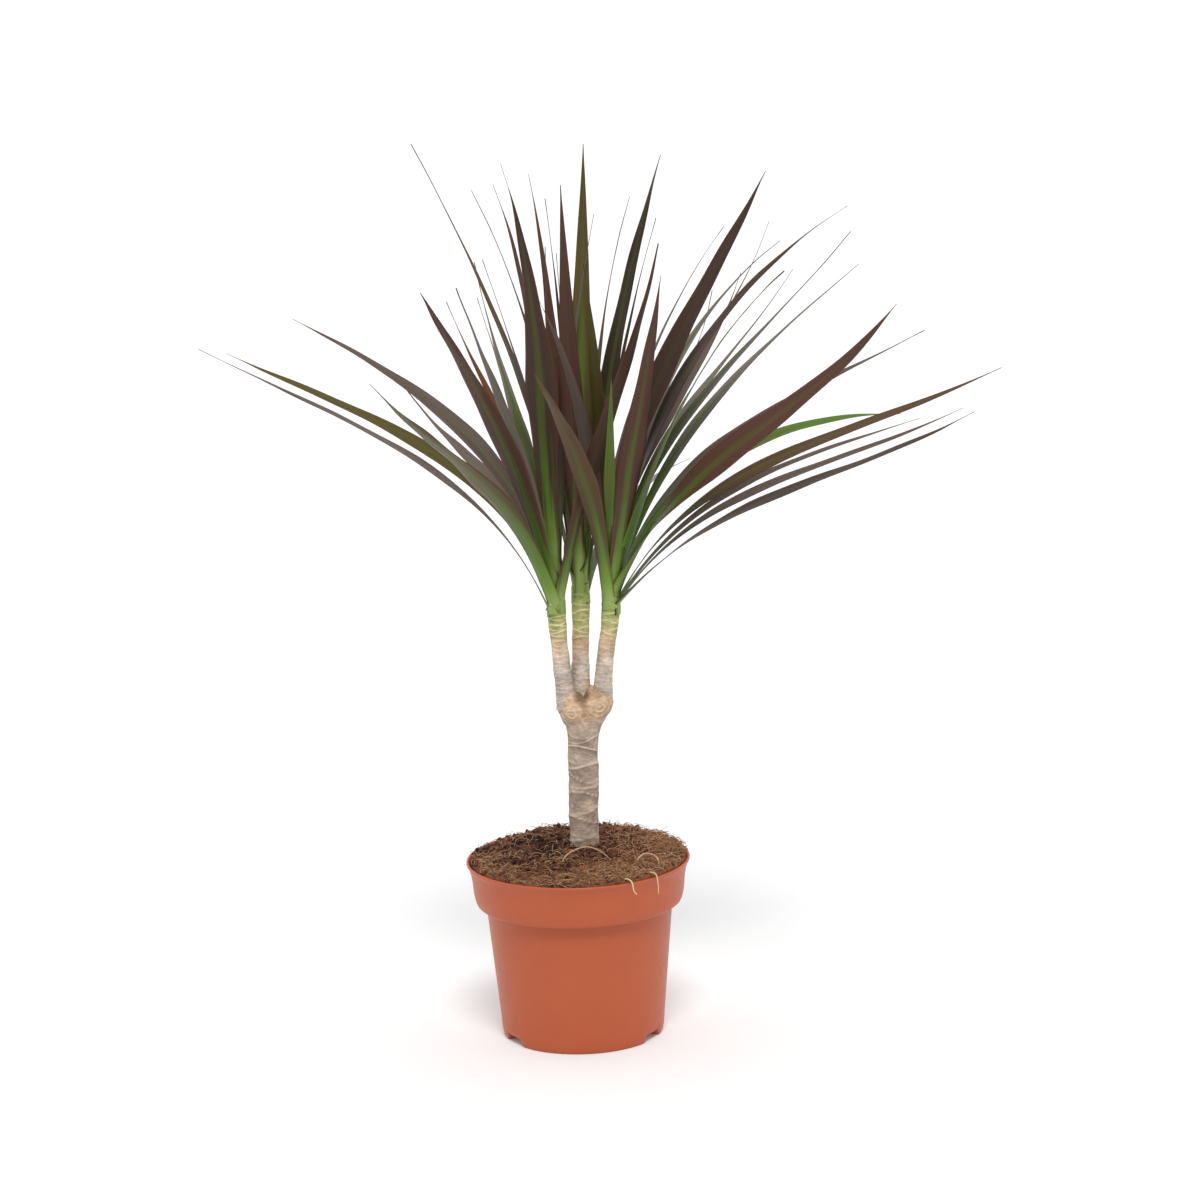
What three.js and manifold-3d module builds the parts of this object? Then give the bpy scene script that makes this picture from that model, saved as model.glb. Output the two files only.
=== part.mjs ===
// Potted dracaena: a nursery pot full of soil, a cane that forks into three shoots, and the
// narrow leaves of each shoot. Millimetres, +Z up, the plant stands on z = 0.
import * as THREE from 'three';
import Module from 'manifold-3d';
import { mergeVertices } from 'three/addons/utils/BufferGeometryUtils.js';

const wasm = await Module();
wasm.setup();

// Driving dimensions
const POT_HEIGHT = 98;
const POT_FOOT_RADIUS = 44;
const POT_WALL = 1.6;
const POT_EDGE = 1; // how far the pot's edges are cut back
const BODY_TOP_RADIUS = 51; // outside, where the collar starts
const COLLAR_HEIGHT = 24.3;
const COLLAR_FOOT_RADIUS = 57; // outside, at the collar's lower edge
const COLLAR_TOP_RADIUS = 58.4; // outside, just under the lip
const LIP_RADIUS = 61;
const LIP_HEIGHT = 2.2;
const FLOOR_HEIGHT = 5; // the pot's floor stands this far above its feet
const FOOT_RING_WIDTH = 9;
const NOTCH_ANGLES = [-30, 90, 210]; // degrees, where the three feet are parted
const NOTCH_WIDTH = 17;
const NOTCH_HEIGHT = 3.4;
const NOTCH_LENGTH = 30; // from the ring's inside to well clear of the pot
const POT_SIDES = 48;
const SOIL_MOUND = 6; // rise of the soil from the wall to the cane
const SOIL_DIP = 1; // from the pot's lip down to the soil at the wall
const SOIL_RINGS = [0.85, 0.65, 0.45, 0.25]; // of the mound, as parts of its radius
const SOIL_SIDES = 40;
const GAP = 0.3; // air left between pieces that touch
const CANE_X = 4; // the cane stands a little off the pot's middle
const CANE_Y = 4;
const CANE_RADIUS = 8.2;
const CANE_FOOT_Z = 60; // the cane's foot, buried in the root ball
const CANE_BEND_Z = 110; // the cane stands plumb up to here
const CANE_TOP_Z = 168;
const CANE_LEAN = 1; // how far the cane's top leans to the right
const CANE_SIDES = 16;
const HOLE_SIDES = 20;
const KNUCKLE_X = 6.3; // middle of the swelling where the cane forks
const KNUCKLE_Y = 5;
const KNUCKLE_Z = 184;
const KNUCKLE_HALF_WIDTH = 14.8;
const KNUCKLE_HALF_DEPTH = 11;
const KNUCKLE_SIDES = 20;
// The knuckle's outline: part of its half width, and height over its widest place
const KNUCKLE_OUTLINE = [
  [0, -22], [0.5, -22], [0.62, -14], [0.9, -7], [1, 0], [0.97, 5], [0.6, 9], [0, 8],
];
const STEM_FOOT_RADIUS = 5;
const NECK_RADIUS = 4.3; // a shoot's stem just under its leaves
const CROWN_LENGTH = 42; // tip of a shoot, hidden among its leaves
const CROWN_TIP_RADIUS = 1.4;
const STEM_SIDES = 12;
const LIMB_STEPS = 3; // rings between two points of a limb
const LEAF_THICKNESS = 0.8;
const LEAF_STEPS = 12;
const LEAF_TIP_HALF = 0.5; // least half width, at the tip
const LEAF_HANDLE = 0.36; // how stiffly a leaf keeps its lean at either end, part of its chord
const LEAF_TURN_END = 0.5; // part of the length where a leaf has done its turn
const FOOT_FOLD = 0.25; // rise of a blade's edges over its midrib, part of the half width
const TIP_FOLD = 0.12;
const FOOT_CLEARANCE = 1.5; // from the crown's skin to the middle of a leaf's foot
// A blade is narrow at its foot, widens along the first third, and tapers over the rest
const FOOT_WIDTH = 0.26; // part of the greatest width
const WIDENS_FROM = 0.05; // parts of the length
const WIDENS_TO = 0.36;
const TAPER_END = 1.04;
const TAPER_LENGTH = 0.6;
const TAPER_POWER = 0.8;
// The pot's axis sits here, so that the origin is the middle of the whole plant's floor plan
const POT_X = -20;
const POT_Y = -17;

const COLLAR_FOOT_Z = POT_HEIGHT - COLLAR_HEIGHT;
const rad = THREE.MathUtils.degToRad;

function makeMesh(name, geometry, colour, roughness) {
  const material = new THREE.MeshStandardMaterial({ color: colour, roughness, metalness: 0 });
  const mesh = new THREE.Mesh(geometry, material);
  mesh.name = name;
  return mesh;
}

// A profile of [radius, height] turned about Z
function turned(profile, segments) {
  const points = profile.map(([radius, height]) => new THREE.Vector2(radius, height));
  return new THREE.LatheGeometry(points, segments).rotateX(Math.PI / 2);
}

function toSolid(geometry) {
  const bare = geometry.clone();
  bare.deleteAttribute('normal');
  bare.deleteAttribute('uv');
  const merged = mergeVertices(bare, 1e-4);
  return new wasm.Manifold(new wasm.Mesh({
    numProp: 3,
    vertProperties: new Float32Array(merged.attributes.position.array),
    triVerts: new Uint32Array(merged.index.array),
  }));
}

function toGeometry(solid) {
  const mesh = solid.getMesh();
  const geometry = new THREE.BufferGeometry();
  geometry.setAttribute('position', new THREE.BufferAttribute(mesh.vertProperties, 3));
  geometry.setIndex(new THREE.BufferAttribute(mesh.triVerts, 1));
  geometry.computeVertexNormals();
  return geometry;
}

// Radius of the pot's inner wall at a height
function innerRadius(height) {
  if (height > COLLAR_FOOT_Z) return COLLAR_FOOT_RADIUS - POT_WALL;
  const taper = (BODY_TOP_RADIUS - POT_FOOT_RADIUS) / COLLAR_FOOT_Z;
  return POT_FOOT_RADIUS + taper * height - POT_WALL;
}

// Thin-walled tapered pot with a stepped collar, a turned-out lip and three broad feet
function makePot() {
  const profile = [
    [0, FLOOR_HEIGHT - POT_WALL],
    [POT_FOOT_RADIUS - FOOT_RING_WIDTH, FLOOR_HEIGHT - POT_WALL],
    [POT_FOOT_RADIUS - FOOT_RING_WIDTH, 0],
    [POT_FOOT_RADIUS - POT_EDGE, 0],
    [POT_FOOT_RADIUS, POT_EDGE],
    [BODY_TOP_RADIUS, COLLAR_FOOT_Z],
    [COLLAR_FOOT_RADIUS - 2 * POT_EDGE, COLLAR_FOOT_Z],
    [COLLAR_FOOT_RADIUS, COLLAR_FOOT_Z + 2 * POT_EDGE],
    [COLLAR_TOP_RADIUS, POT_HEIGHT - 2 * LIP_HEIGHT],
    [LIP_RADIUS, POT_HEIGHT - LIP_HEIGHT / 2],
    [LIP_RADIUS - POT_EDGE, POT_HEIGHT],
    [innerRadius(POT_HEIGHT), POT_HEIGHT],
    [innerRadius(POT_HEIGHT), COLLAR_FOOT_Z + POT_WALL],
    [innerRadius(COLLAR_FOOT_Z), COLLAR_FOOT_Z + POT_WALL],
    [innerRadius(FLOOR_HEIGHT), FLOOR_HEIGHT],
    [0, FLOOR_HEIGHT],
  ];
  let pot = toSolid(turned(profile, POT_SIDES));
  for (const angle of NOTCH_ANGLES) {
    const notch = new THREE.BoxGeometry(NOTCH_LENGTH, NOTCH_WIDTH, NOTCH_HEIGHT * 2);
    notch.translate(POT_FOOT_RADIUS, 0, 0).rotateZ(rad(angle));
    pot = pot.subtract(toSolid(notch));
  }
  return makeMesh('pot', toGeometry(pot), '#bd6545', 0.5);
}

// The root ball: it fills the pot and mounds up to the cane
function makeSoil() {
  const wallTop = POT_HEIGHT - SOIL_DIP;
  const rim = innerRadius(POT_HEIGHT) - GAP;
  const profile = [
    [0, FLOOR_HEIGHT + GAP],
    [innerRadius(FLOOR_HEIGHT) - GAP, FLOOR_HEIGHT + GAP],
    [innerRadius(COLLAR_FOOT_Z) - GAP, COLLAR_FOOT_Z + POT_WALL + GAP],
    [rim, COLLAR_FOOT_Z + POT_WALL + GAP],
    [rim, wallTop],
  ];
  for (const part of SOIL_RINGS) {
    profile.push([rim * part, wallTop + SOIL_MOUND * (1 - part * part)]);
  }
  profile.push([0, wallTop + SOIL_MOUND]);
  const hole = toSolid(turned([
    [0, CANE_FOOT_Z],
    [CANE_RADIUS + GAP, CANE_FOOT_Z],
    [CANE_RADIUS + GAP, POT_HEIGHT + 2 * SOIL_MOUND],
    [0, POT_HEIGHT + 2 * SOIL_MOUND],
  ], HOLE_SIDES).translate(CANE_X, CANE_Y, 0));
  const soil = toSolid(turned(profile, SOIL_SIDES)).subtract(hole);
  return makeMesh('soil', toGeometry(soil), '#5f4030', 0.95);
}

// A round limb along a curve, with a radius for each part of its length
function limb(points, radii, sides) {
  const curve = new THREE.CatmullRomCurve3(points.map((p) => new THREE.Vector3(...p)));
  const steps = (points.length - 1) * LIMB_STEPS;
  const rings = [];
  for (let i = 0; i <= steps; i += 1) {
    const at = i / steps;
    const centre = curve.getPoint(at);
    const along = curve.getTangent(at);
    const side = new THREE.Vector3(0, 1, 0).cross(along).normalize();
    const front = along.clone().cross(side);
    const place = at * (radii.length - 1);
    const low = Math.min(Math.floor(place), radii.length - 2);
    const radius = THREE.MathUtils.lerp(radii[low], radii[low + 1], place - low);
    const ring = [];
    for (let k = 0; k < sides; k += 1) {
      const turn = (2 * Math.PI * k) / sides;
      ring.push(centre.clone()
        .addScaledVector(side, radius * Math.cos(turn))
        .addScaledVector(front, radius * Math.sin(turn)));
    }
    rings.push(ring);
  }
  return loft(rings);
}

// Closed solid through a row of rings that all have the same number of corners
function loft(rings) {
  const sides = rings[0].length;
  const corners = rings.flat().flatMap((point) => point.toArray());
  const faces = [];
  for (let i = 0; i + 1 < rings.length; i += 1) {
    for (let k = 0; k < sides; k += 1) {
      const a = i * sides + k;
      const b = i * sides + ((k + 1) % sides);
      faces.push(a, b, b + sides, a, b + sides, a + sides);
    }
  }
  const last = (rings.length - 1) * sides;
  for (let k = 1; k + 1 < sides; k += 1) {
    faces.push(0, k + 1, k);
    faces.push(last, last + k, last + k + 1);
  }
  const geometry = new THREE.BufferGeometry();
  geometry.setAttribute('position', new THREE.Float32BufferAttribute(corners, 3));
  geometry.setIndex(faces);
  return geometry;
}

// Where each shoot's neck ends and its leaves start
const SHOOTS = {
  left: { neck: [-7, 1, 235], base: [-2.5, 3, 187] },
  middle: { neck: [6, 10, 238], base: [5.5, 8, 187] },
  right: { neck: [22, 3, 236], base: [16, 4, 187] },
};

// Cane, knuckle and the three stems grew as one piece
function makeCane() {
  const trunk = limb(
    [
      [CANE_X, CANE_Y, CANE_FOOT_Z + GAP], [CANE_X, CANE_Y, CANE_BEND_Z],
      [CANE_X + CANE_LEAN, CANE_Y, CANE_TOP_Z],
    ],
    [CANE_RADIUS, CANE_RADIUS],
    CANE_SIDES,
  );
  const outline = KNUCKLE_OUTLINE.map(([part, height]) => [part, KNUCKLE_Z + height]);
  const knuckle = turned(outline, KNUCKLE_SIDES)
    .scale(KNUCKLE_HALF_WIDTH, KNUCKLE_HALF_DEPTH, 1)
    .translate(KNUCKLE_X, KNUCKLE_Y, 0);
  let cane = toSolid(trunk).add(toSolid(knuckle));
  for (const { neck, base } of Object.values(SHOOTS)) {
    const middle = neck.map((value, axis) => (value + base[axis]) / 2);
    const tip = [neck[0], neck[1], neck[2] + CROWN_LENGTH];
    const radii = [STEM_FOOT_RADIUS, NECK_RADIUS, NECK_RADIUS, CROWN_TIP_RADIUS];
    cane = cane.add(toSolid(limb([base, middle, neck, tip], radii, STEM_SIDES)));
  }
  return makeMesh('cane', toGeometry(cane), '#a08c74', 0.85);
}

// The leaves of each shoot. foot: height of the leaf's foot above the neck; heading: compass
// direction in degrees, 0 to the right (+X), 90 to the back; reach and rise: the tip's distance
// from the shoot's axis and height above the neck; out and over: lean from upright at the foot
// and at the tip; wide: the blade's greatest width; turn: roll of the blade about its midrib.
const LEAVES = {
  left: [
    { foot: 3, heading: -172, reach: 184, rise: 151, out: 21, over: 60, wide: 9, turn: 0 },
    { foot: 6, heading: 165, reach: 181, rise: 138, out: 13, over: 66, wide: 10, turn: 10 },
    { foot: 12, heading: 152, reach: 159, rise: 152, out: 7, over: 68, wide: 10, turn: 15 },
    { foot: 5, heading: -128, reach: 144, rise: 143, out: 18, over: 48, wide: 13, turn: 0 },
    { foot: 9, heading: 128, reach: 133, rise: 108, out: 14, over: 51, wide: 12, turn: 0 },
    { foot: 14, heading: -122, reach: 117, rise: 186, out: 18, over: 41, wide: 14, turn: 0 },
    { foot: 20, heading: 122, reach: 106, rise: 157, out: 12, over: 38, wide: 9, turn: 0 },
    { foot: 24, heading: -138, reach: 62, rise: 181, out: 12, over: 23, wide: 10, turn: 0 },
    { foot: 16, heading: 108, reach: 133, rise: 174, out: 22, over: 34, wide: 9, turn: 0 },
    { foot: 12, heading: 107, reach: 138, rise: 153, out: 24, over: 50, wide: 5, turn: 0 },
    { foot: 5, heading: 94, reach: 112, rise: 147, out: 26, over: 50, wide: 7, turn: 0 },
    { foot: 28, heading: 146, reach: 32, rise: 228, out: 6, over: 24, wide: 9, turn: 0 },
    { foot: 30, heading: -118, reach: 44, rise: 244, out: 5, over: 30, wide: 14, turn: 0 },
    { foot: 9, heading: -50, reach: 92, rise: 204, out: 15, over: 19, wide: 12, turn: 0 },
    { foot: 28, heading: 90, reach: 36, rise: 192, out: 6, over: 30, wide: 6, turn: 0 },
    { foot: 16, heading: -25, reach: 20, rise: 70, out: 10, over: 28, wide: 8, turn: 0 },
    { foot: 20, heading: 66, reach: 66, rise: 206, out: 7, over: 30, wide: 6, turn: 0 },
  ],
  middle: [
    { foot: 30, heading: 82, reach: 66, rise: 240, out: 9, over: 14, wide: 10, turn: 0 },
    { foot: 13, heading: 113, reach: 54, rise: 226, out: 18, over: 26, wide: 11, turn: 0 },
    { foot: 24, heading: -95, reach: 38, rise: 228, out: 8, over: 8, wide: 10, turn: 0 },
    { foot: 12, heading: 154, reach: 93, rise: 245, out: 9, over: 30, wide: 9, turn: 0 },
    { foot: 6, heading: 128, reach: 78, rise: 179, out: 14, over: 29, wide: 5, turn: 0 },
    { foot: 20, heading: 142, reach: 66, rise: 219, out: 8, over: 33, wide: 6, turn: 0 },
    { foot: 34, heading: 128, reach: 20, rise: 216, out: 2, over: 10, wide: 5, turn: 0 },
    { foot: 8, heading: 95, reach: 88, rise: 178, out: 20, over: 34, wide: 5, turn: 0 },
    { foot: 18, heading: 50, reach: 52, rise: 213, out: 9, over: 28, wide: 6, turn: 0 },
    { foot: 16, heading: 10, reach: 51, rise: 238, out: 6, over: 18, wide: 10, turn: 30 },
    { foot: 12, heading: 34, reach: 57, rise: 202, out: 13, over: 22, wide: 6, turn: 0 },
    { foot: 6, heading: 22, reach: 90, rise: 196, out: 14, over: 41, wide: 7, turn: 0 },
    { foot: 3, heading: 62, reach: 136, rise: 55, out: 30, over: 89, wide: 9, turn: 0 },
  ],
  right: [
    { foot: 22, heading: -100, reach: 50, rise: 191, out: 8, over: 26, wide: 8, turn: 0 },
    { foot: 10, heading: -68, reach: 82, rise: 187, out: 18, over: 22, wide: 12, turn: 0 },
    { foot: 26, heading: -25, reach: 96, rise: 235, out: 5, over: 29, wide: 12, turn: 25 },
    { foot: 22, heading: 41, reach: 132, rise: 184, out: 9, over: 66, wide: 9, turn: 10 },
    { foot: 28, heading: 14, reach: 94, rise: 202, out: 6, over: 21, wide: 6, turn: 0 },
    { foot: 18, heading: 62, reach: 171, rise: 159, out: 14, over: 41, wide: 9, turn: 0 },
    { foot: 28, heading: 60, reach: 125, rise: 155, out: 8, over: 23, wide: 6, turn: 0 },
    { foot: 18, heading: -8, reach: 131, rise: 213, out: 10, over: 59, wide: 10, turn: 0 },
    { foot: 15, heading: -44, reach: 129, rise: 189, out: 24, over: 54, wide: 12, turn: 10 },
    { foot: 12, heading: 54, reach: 187, rise: 160, out: 18, over: 54, wide: 6, turn: 0 },
    { foot: 16, heading: 26, reach: 153, rise: 190, out: 12, over: 46, wide: 7, turn: 0 },
    { foot: 9, heading: 37, reach: 181, rise: 167, out: 20, over: 62, wide: 8, turn: 0 },
    { foot: 8, heading: -34, reach: 179, rise: 172, out: 25, over: 40, wide: 13, turn: 30 },
    { foot: 11, heading: 11, reach: 177, rise: 139, out: 18, over: 66, wide: 9, turn: 0 },
    { foot: 6, heading: 34, reach: 202, rise: 81, out: 22, over: 98, wide: 9, turn: 0 },
    { foot: 5, heading: -13, reach: 212, rise: 130, out: 28, over: 64, wide: 10, turn: 10 },
    { foot: 3, heading: 3, reach: 192, rise: 100, out: 34, over: 66, wide: 9, turn: 0 },
    { foot: 3, heading: 27, reach: 196, rise: 82, out: 38, over: 80, wide: 7, turn: 0 },
    { foot: 2, heading: -30, reach: 215, rise: 117, out: 42, over: 61, wide: 10, turn: 0 },
    { foot: 14, heading: -114, reach: 80, rise: 177, out: 8, over: 46, wide: 9, turn: 0 },
    { foot: 6, heading: -106, reach: 128, rise: 147, out: 13, over: 55, wide: 11, turn: 0 },
    { foot: 20, heading: -88, reach: 105, rise: 141, out: 22, over: 42, wide: 8, turn: 0 },
  ],
};

const LEAF_COLOURS = ['#4a3532', '#5a4a2e', '#55393a', '#4f7d1c', '#6b5a52'];

// Width of a blade along its length, as a part of its greatest width
function bladeWidth(at) {
  const swell = THREE.MathUtils.smoothstep(at, WIDENS_FROM, WIDENS_TO);
  const taper = Math.min(1, Math.pow((TAPER_END - at) / TAPER_LENGTH, TAPER_POWER));
  return THREE.MathUtils.lerp(FOOT_WIDTH, 1, swell) * taper;
}

// A leaf is a thin channelled strap that bends in one upright plane
function makeLeaf(shoot, leaf, name, colour) {
  const crown = THREE.MathUtils.lerp(NECK_RADIUS, CROWN_TIP_RADIUS, leaf.foot / CROWN_LENGTH);
  const foot = new THREE.Vector2(crown + FOOT_CLEARANCE, leaf.foot);
  const tip = new THREE.Vector2(leaf.reach, leaf.rise);
  const handle = foot.distanceTo(tip) * LEAF_HANDLE;
  const lean = (degrees) => new THREE.Vector2(Math.sin(rad(degrees)), Math.cos(rad(degrees)));
  const curve = new THREE.CubicBezierCurve(
    foot,
    foot.clone().addScaledVector(lean(leaf.out), handle),
    tip.clone().addScaledVector(lean(leaf.over), -handle),
    tip,
  );
  const [neckX, neckY, neckZ] = SHOOTS[shoot].neck;
  const outward = new THREE.Vector3(Math.cos(rad(leaf.heading)), Math.sin(rad(leaf.heading)), 0);
  const level = new THREE.Vector3(-outward.y, outward.x, 0);
  const rings = [];
  for (let i = 0; i <= LEAF_STEPS; i += 1) {
    const at = i / LEAF_STEPS;
    const place = curve.getPoint(at);
    const slope = curve.getTangent(at);
    const along = outward.clone().multiplyScalar(slope.x).setZ(slope.y);
    const centre = outward.clone().multiplyScalar(place.x).setZ(place.y);
    centre.add(new THREE.Vector3(neckX, neckY, neckZ));
    const roll = rad(leaf.turn) * THREE.MathUtils.smoothstep(at, 0, LEAF_TURN_END);
    const across = level.clone().applyAxisAngle(along, roll);
    const up = along.clone().cross(across);
    const half = Math.max(LEAF_TIP_HALF, (leaf.wide / 2) * bladeWidth(at));
    const fold = half * THREE.MathUtils.lerp(FOOT_FOLD, TIP_FOLD, at);
    const corner = (side, height) => centre.clone()
      .addScaledVector(across, side * half)
      .addScaledVector(up, height);
    rings.push([
      corner(-1, fold),
      corner(0, 0),
      corner(1, fold),
      corner(1, fold + LEAF_THICKNESS),
      corner(0, LEAF_THICKNESS),
      corner(-1, fold + LEAF_THICKNESS),
    ]);
  }
  return makeMesh(name, loft(rings), colour, 0.45);
}

const plant = new THREE.Group();
plant.position.set(POT_X, POT_Y, 0);
plant.add(makePot(), makeSoil(), makeCane());
for (const [shoot, leaves] of Object.entries(LEAVES)) {
  leaves.forEach((leaf, index) => {
    const name = `leaf_${shoot}_${String(index + 1).padStart(2, '0')}`;
    plant.add(makeLeaf(shoot, leaf, name, LEAF_COLOURS[index % LEAF_COLOURS.length]));
  });
}

export default plant;
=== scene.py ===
import math

import bpy
import numpy as np
from mathutils import Euler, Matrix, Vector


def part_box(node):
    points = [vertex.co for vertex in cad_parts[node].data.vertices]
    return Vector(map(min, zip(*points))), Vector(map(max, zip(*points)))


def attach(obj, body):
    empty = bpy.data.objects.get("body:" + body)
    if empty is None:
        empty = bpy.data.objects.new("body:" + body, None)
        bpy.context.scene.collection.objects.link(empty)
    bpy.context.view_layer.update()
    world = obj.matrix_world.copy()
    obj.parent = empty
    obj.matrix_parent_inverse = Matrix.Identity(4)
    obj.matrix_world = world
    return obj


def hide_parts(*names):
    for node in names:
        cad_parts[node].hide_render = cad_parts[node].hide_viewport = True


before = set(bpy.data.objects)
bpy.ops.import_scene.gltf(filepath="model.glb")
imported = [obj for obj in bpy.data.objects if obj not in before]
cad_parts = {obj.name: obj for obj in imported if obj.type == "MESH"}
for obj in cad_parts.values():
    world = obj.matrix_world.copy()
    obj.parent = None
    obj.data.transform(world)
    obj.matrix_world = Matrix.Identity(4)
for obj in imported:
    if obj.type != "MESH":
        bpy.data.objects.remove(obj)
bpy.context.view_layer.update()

# ---------------------------------------------------------------------------------------
# Pot: a thin-walled nursery pot, injection moulded in terracotta-coloured polypropylene.
# A stepped collar stiffens the rim, the lip turns softly outwards, and the foot ring is
# lifted in three places so that water can run off.

MM = 0.001
TURN = 2 * math.pi
POT_ROUND = 180  # corners round the pot
POT_FILLET_STEPS = 5
FOOT_NOTCHES = (-30, 90, 210)  # degrees round the pot
NOTCH_HALF = 8.5  # mm along the foot ring
NOTCH_LIFT = 4.0
NOTCH_SLOPE = 2.6  # mm over which a notch rises
NOTCH_REACH = 9.0  # mm above the floor where the lift has died out

pot_low, pot_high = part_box("pot")
POT_AXIS = np.array([(pot_low.x + pot_high.x) / 2, (pot_low.y + pot_high.y) / 2, 0]) / MM

# Radius, height and fillet in mm, from the middle of the underside, round the lip and
# down to the middle of the floor. A fillet of 99 makes a flowing curve through a corner.
POT_PROFILE = (
    (0.6, 3.4, 0), (35, 3.4, 0.6), (35.2, 0, 0.7), (43.4, 0, 0.9), (44.3, 4, 0.5),
    (44.7, 9, 0), (47.6, 40, 0), (50.9, 74.6, 0.5), (55.6, 73.7, 2.0), (57.2, 79, 99),
    (57.7, 85, 99), (58.3, 90, 99), (59.4, 94.5, 99), (60.9, 97.0, 0.6), (60.7, 98, 0.5),
    (59.6, 98, 0.8), (57.6, 93.5, 99), (56.2, 88, 99), (55.6, 80, 1), (55.4, 75.9, 0.8),
    (49.4, 75.4, 1), (42.8, 5, 1), (0.6, 5, 0),
)


def linear(colour):
    """Linear RGBA of an sRGB hex colour."""
    part = np.array([int(colour[i:i + 2], 16) for i in (1, 3, 5)]) / 255
    part = np.where(part <= 0.04045, part / 12.92, ((part + 0.055) / 1.055) ** 2.4)
    return (*part.tolist(), 1.0)


def smooth(low, high, value):
    """0 below low, 1 above high, and a smoothstep between them."""
    part = np.clip((value - low) / (high - low), 0, 1)
    return part * part * (3 - 2 * part)


def skin(name, rings, **values):
    """Mesh object of closed tubes, from rings[shape, row, corner] in mm: quads join each ring
    to the next, and a fan onto the ring's middle shuts both ends. Rings turn right-handed
    about the way they advance, so that the faces point outwards. Each value is a number or
    a colour for every corner, and becomes an attribute."""
    rings = np.asarray(rings, dtype=float)
    if rings.ndim == 3:
        rings = rings[None]
    shapes, rows, corners = rings.shape[:3]

    def with_ends(field):
        """The field at every corner, followed by its mean over the two end rings."""
        ends = field[:, [0, -1]].mean(axis=2)
        flat = field.reshape(shapes, rows * corners, -1)
        return np.concatenate([flat, ends.reshape(shapes, 2, -1)], axis=1)

    points = with_ends(rings).reshape(-1, 3) * MM
    row, corner = np.meshgrid(np.arange(rows - 1), np.arange(corners), indexing="ij")
    here = (row * corners + corner).ravel()
    beside = (row * corners + (corner + 1) % corners).ravel()
    quads = np.stack([here, beside, beside + corners, here + corners], axis=1)
    first = np.arange(corners)
    second = (first + 1) % corners
    top = (rows - 1) * corners
    fans = np.concatenate([
        np.stack([second, first, np.full(corners, rows * corners)], axis=1),
        np.stack([top + first, top + second, np.full(corners, rows * corners + 1)], axis=1),
    ])
    step = (np.arange(shapes) * (rows * corners + 2))[:, None, None]
    loops = np.concatenate([(quads + step).reshape(-1), (fans + step).reshape(-1)])
    sizes = np.repeat([4, 3], [shapes * len(quads), shapes * len(fans)])
    mesh = bpy.data.meshes.new(name)
    mesh.vertices.add(len(points))
    mesh.vertices.foreach_set("co", points.ravel())
    mesh.loops.add(len(loops))
    mesh.loops.foreach_set("vertex_index", loops.astype(np.int32))
    mesh.polygons.add(len(sizes))
    mesh.polygons.foreach_set("loop_start", np.cumsum(sizes) - sizes)
    mesh.polygons.foreach_set("use_smooth", np.ones(len(sizes), dtype=bool))
    for key, value in values.items():
        value = np.asarray(value, dtype=float)
        if value.shape[-1:] == (4,):
            field = with_ends(np.broadcast_to(value, (shapes, rows, corners, 4)))
            mesh.attributes.new(key, "FLOAT_COLOR", "POINT").data.foreach_set(
                "color", field.ravel())
        else:
            field = with_ends(np.broadcast_to(value, (shapes, rows, corners))[..., None])
            mesh.attributes.new(key, "FLOAT", "POINT").data.foreach_set(
                "value", field.ravel())
    mesh.update(calc_edges=True)
    mesh.validate()
    piece = bpy.data.objects.new(name, mesh)
    bpy.context.collection.objects.link(piece)
    return piece


def rounded(profile):
    """Profile with its corners eased: each corner becomes a quadratic curve between the
    points that lie one fillet before and after it."""
    corners = np.array([row[:2] for row in profile], dtype=float)
    fillets = np.array([row[2] for row in profile])
    eased = [corners[:1]]
    part = np.linspace(0, 1, POT_FILLET_STEPS)[:, None]
    for before, corner, after, fillet in zip(corners, corners[1:], corners[2:], fillets[1:]):
        if fillet == 0:
            eased.append(corner[None])
            continue
        start, end = (
            corner + (other - corner) * min(0.5, fillet / np.linalg.norm(other - corner))
            for other in (before, after)
        )
        eased.append((1 - part) ** 2 * start + 2 * part * (1 - part) * corner + part ** 2 * end)
    eased = np.concatenate([*eased, corners[-1:]])
    apart = np.linalg.norm(np.diff(eased, axis=0), axis=1) > 1e-4
    return eased[np.concatenate([[True], apart])]


def turned(profile, corners, axis):
    """Rings of a profile of (radius, height) turned about an upright axis."""
    angle = np.arange(corners) / corners * TURN
    radius, height = profile[:, :1], profile[:, 1:]
    return axis + np.stack([
        radius * np.cos(angle), radius * np.sin(angle),
        np.broadcast_to(height, (len(profile), corners))], axis=-1)


def material(name):
    """New material: its node tree and its Principled shader."""
    made = bpy.data.materials.new(name)
    made.use_nodes = True
    return made, made.node_tree, made.node_tree.nodes["Principled BSDF"]


def add(tree, kind, inputs=(), **settings):
    """Adds a node with its settings. Each input is set to a value, or linked to a socket."""
    made = tree.nodes.new(kind)
    for key, value in settings.items():
        setattr(made, key, value)
    for key, value in dict(inputs).items():
        if isinstance(value, bpy.types.NodeSocket):
            tree.links.new(value, made.inputs[key])
        else:
            made.inputs[key].default_value = value
    return made


def dress(piece, finish, slot, *nodes):
    """Gives a piece its material and its body, and hides the CAD nodes that it stands for. The
    slot is not used.
    """
    piece.data.materials.append(finish)
    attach(piece, "root")
    if nodes:
        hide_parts(*nodes)


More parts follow.
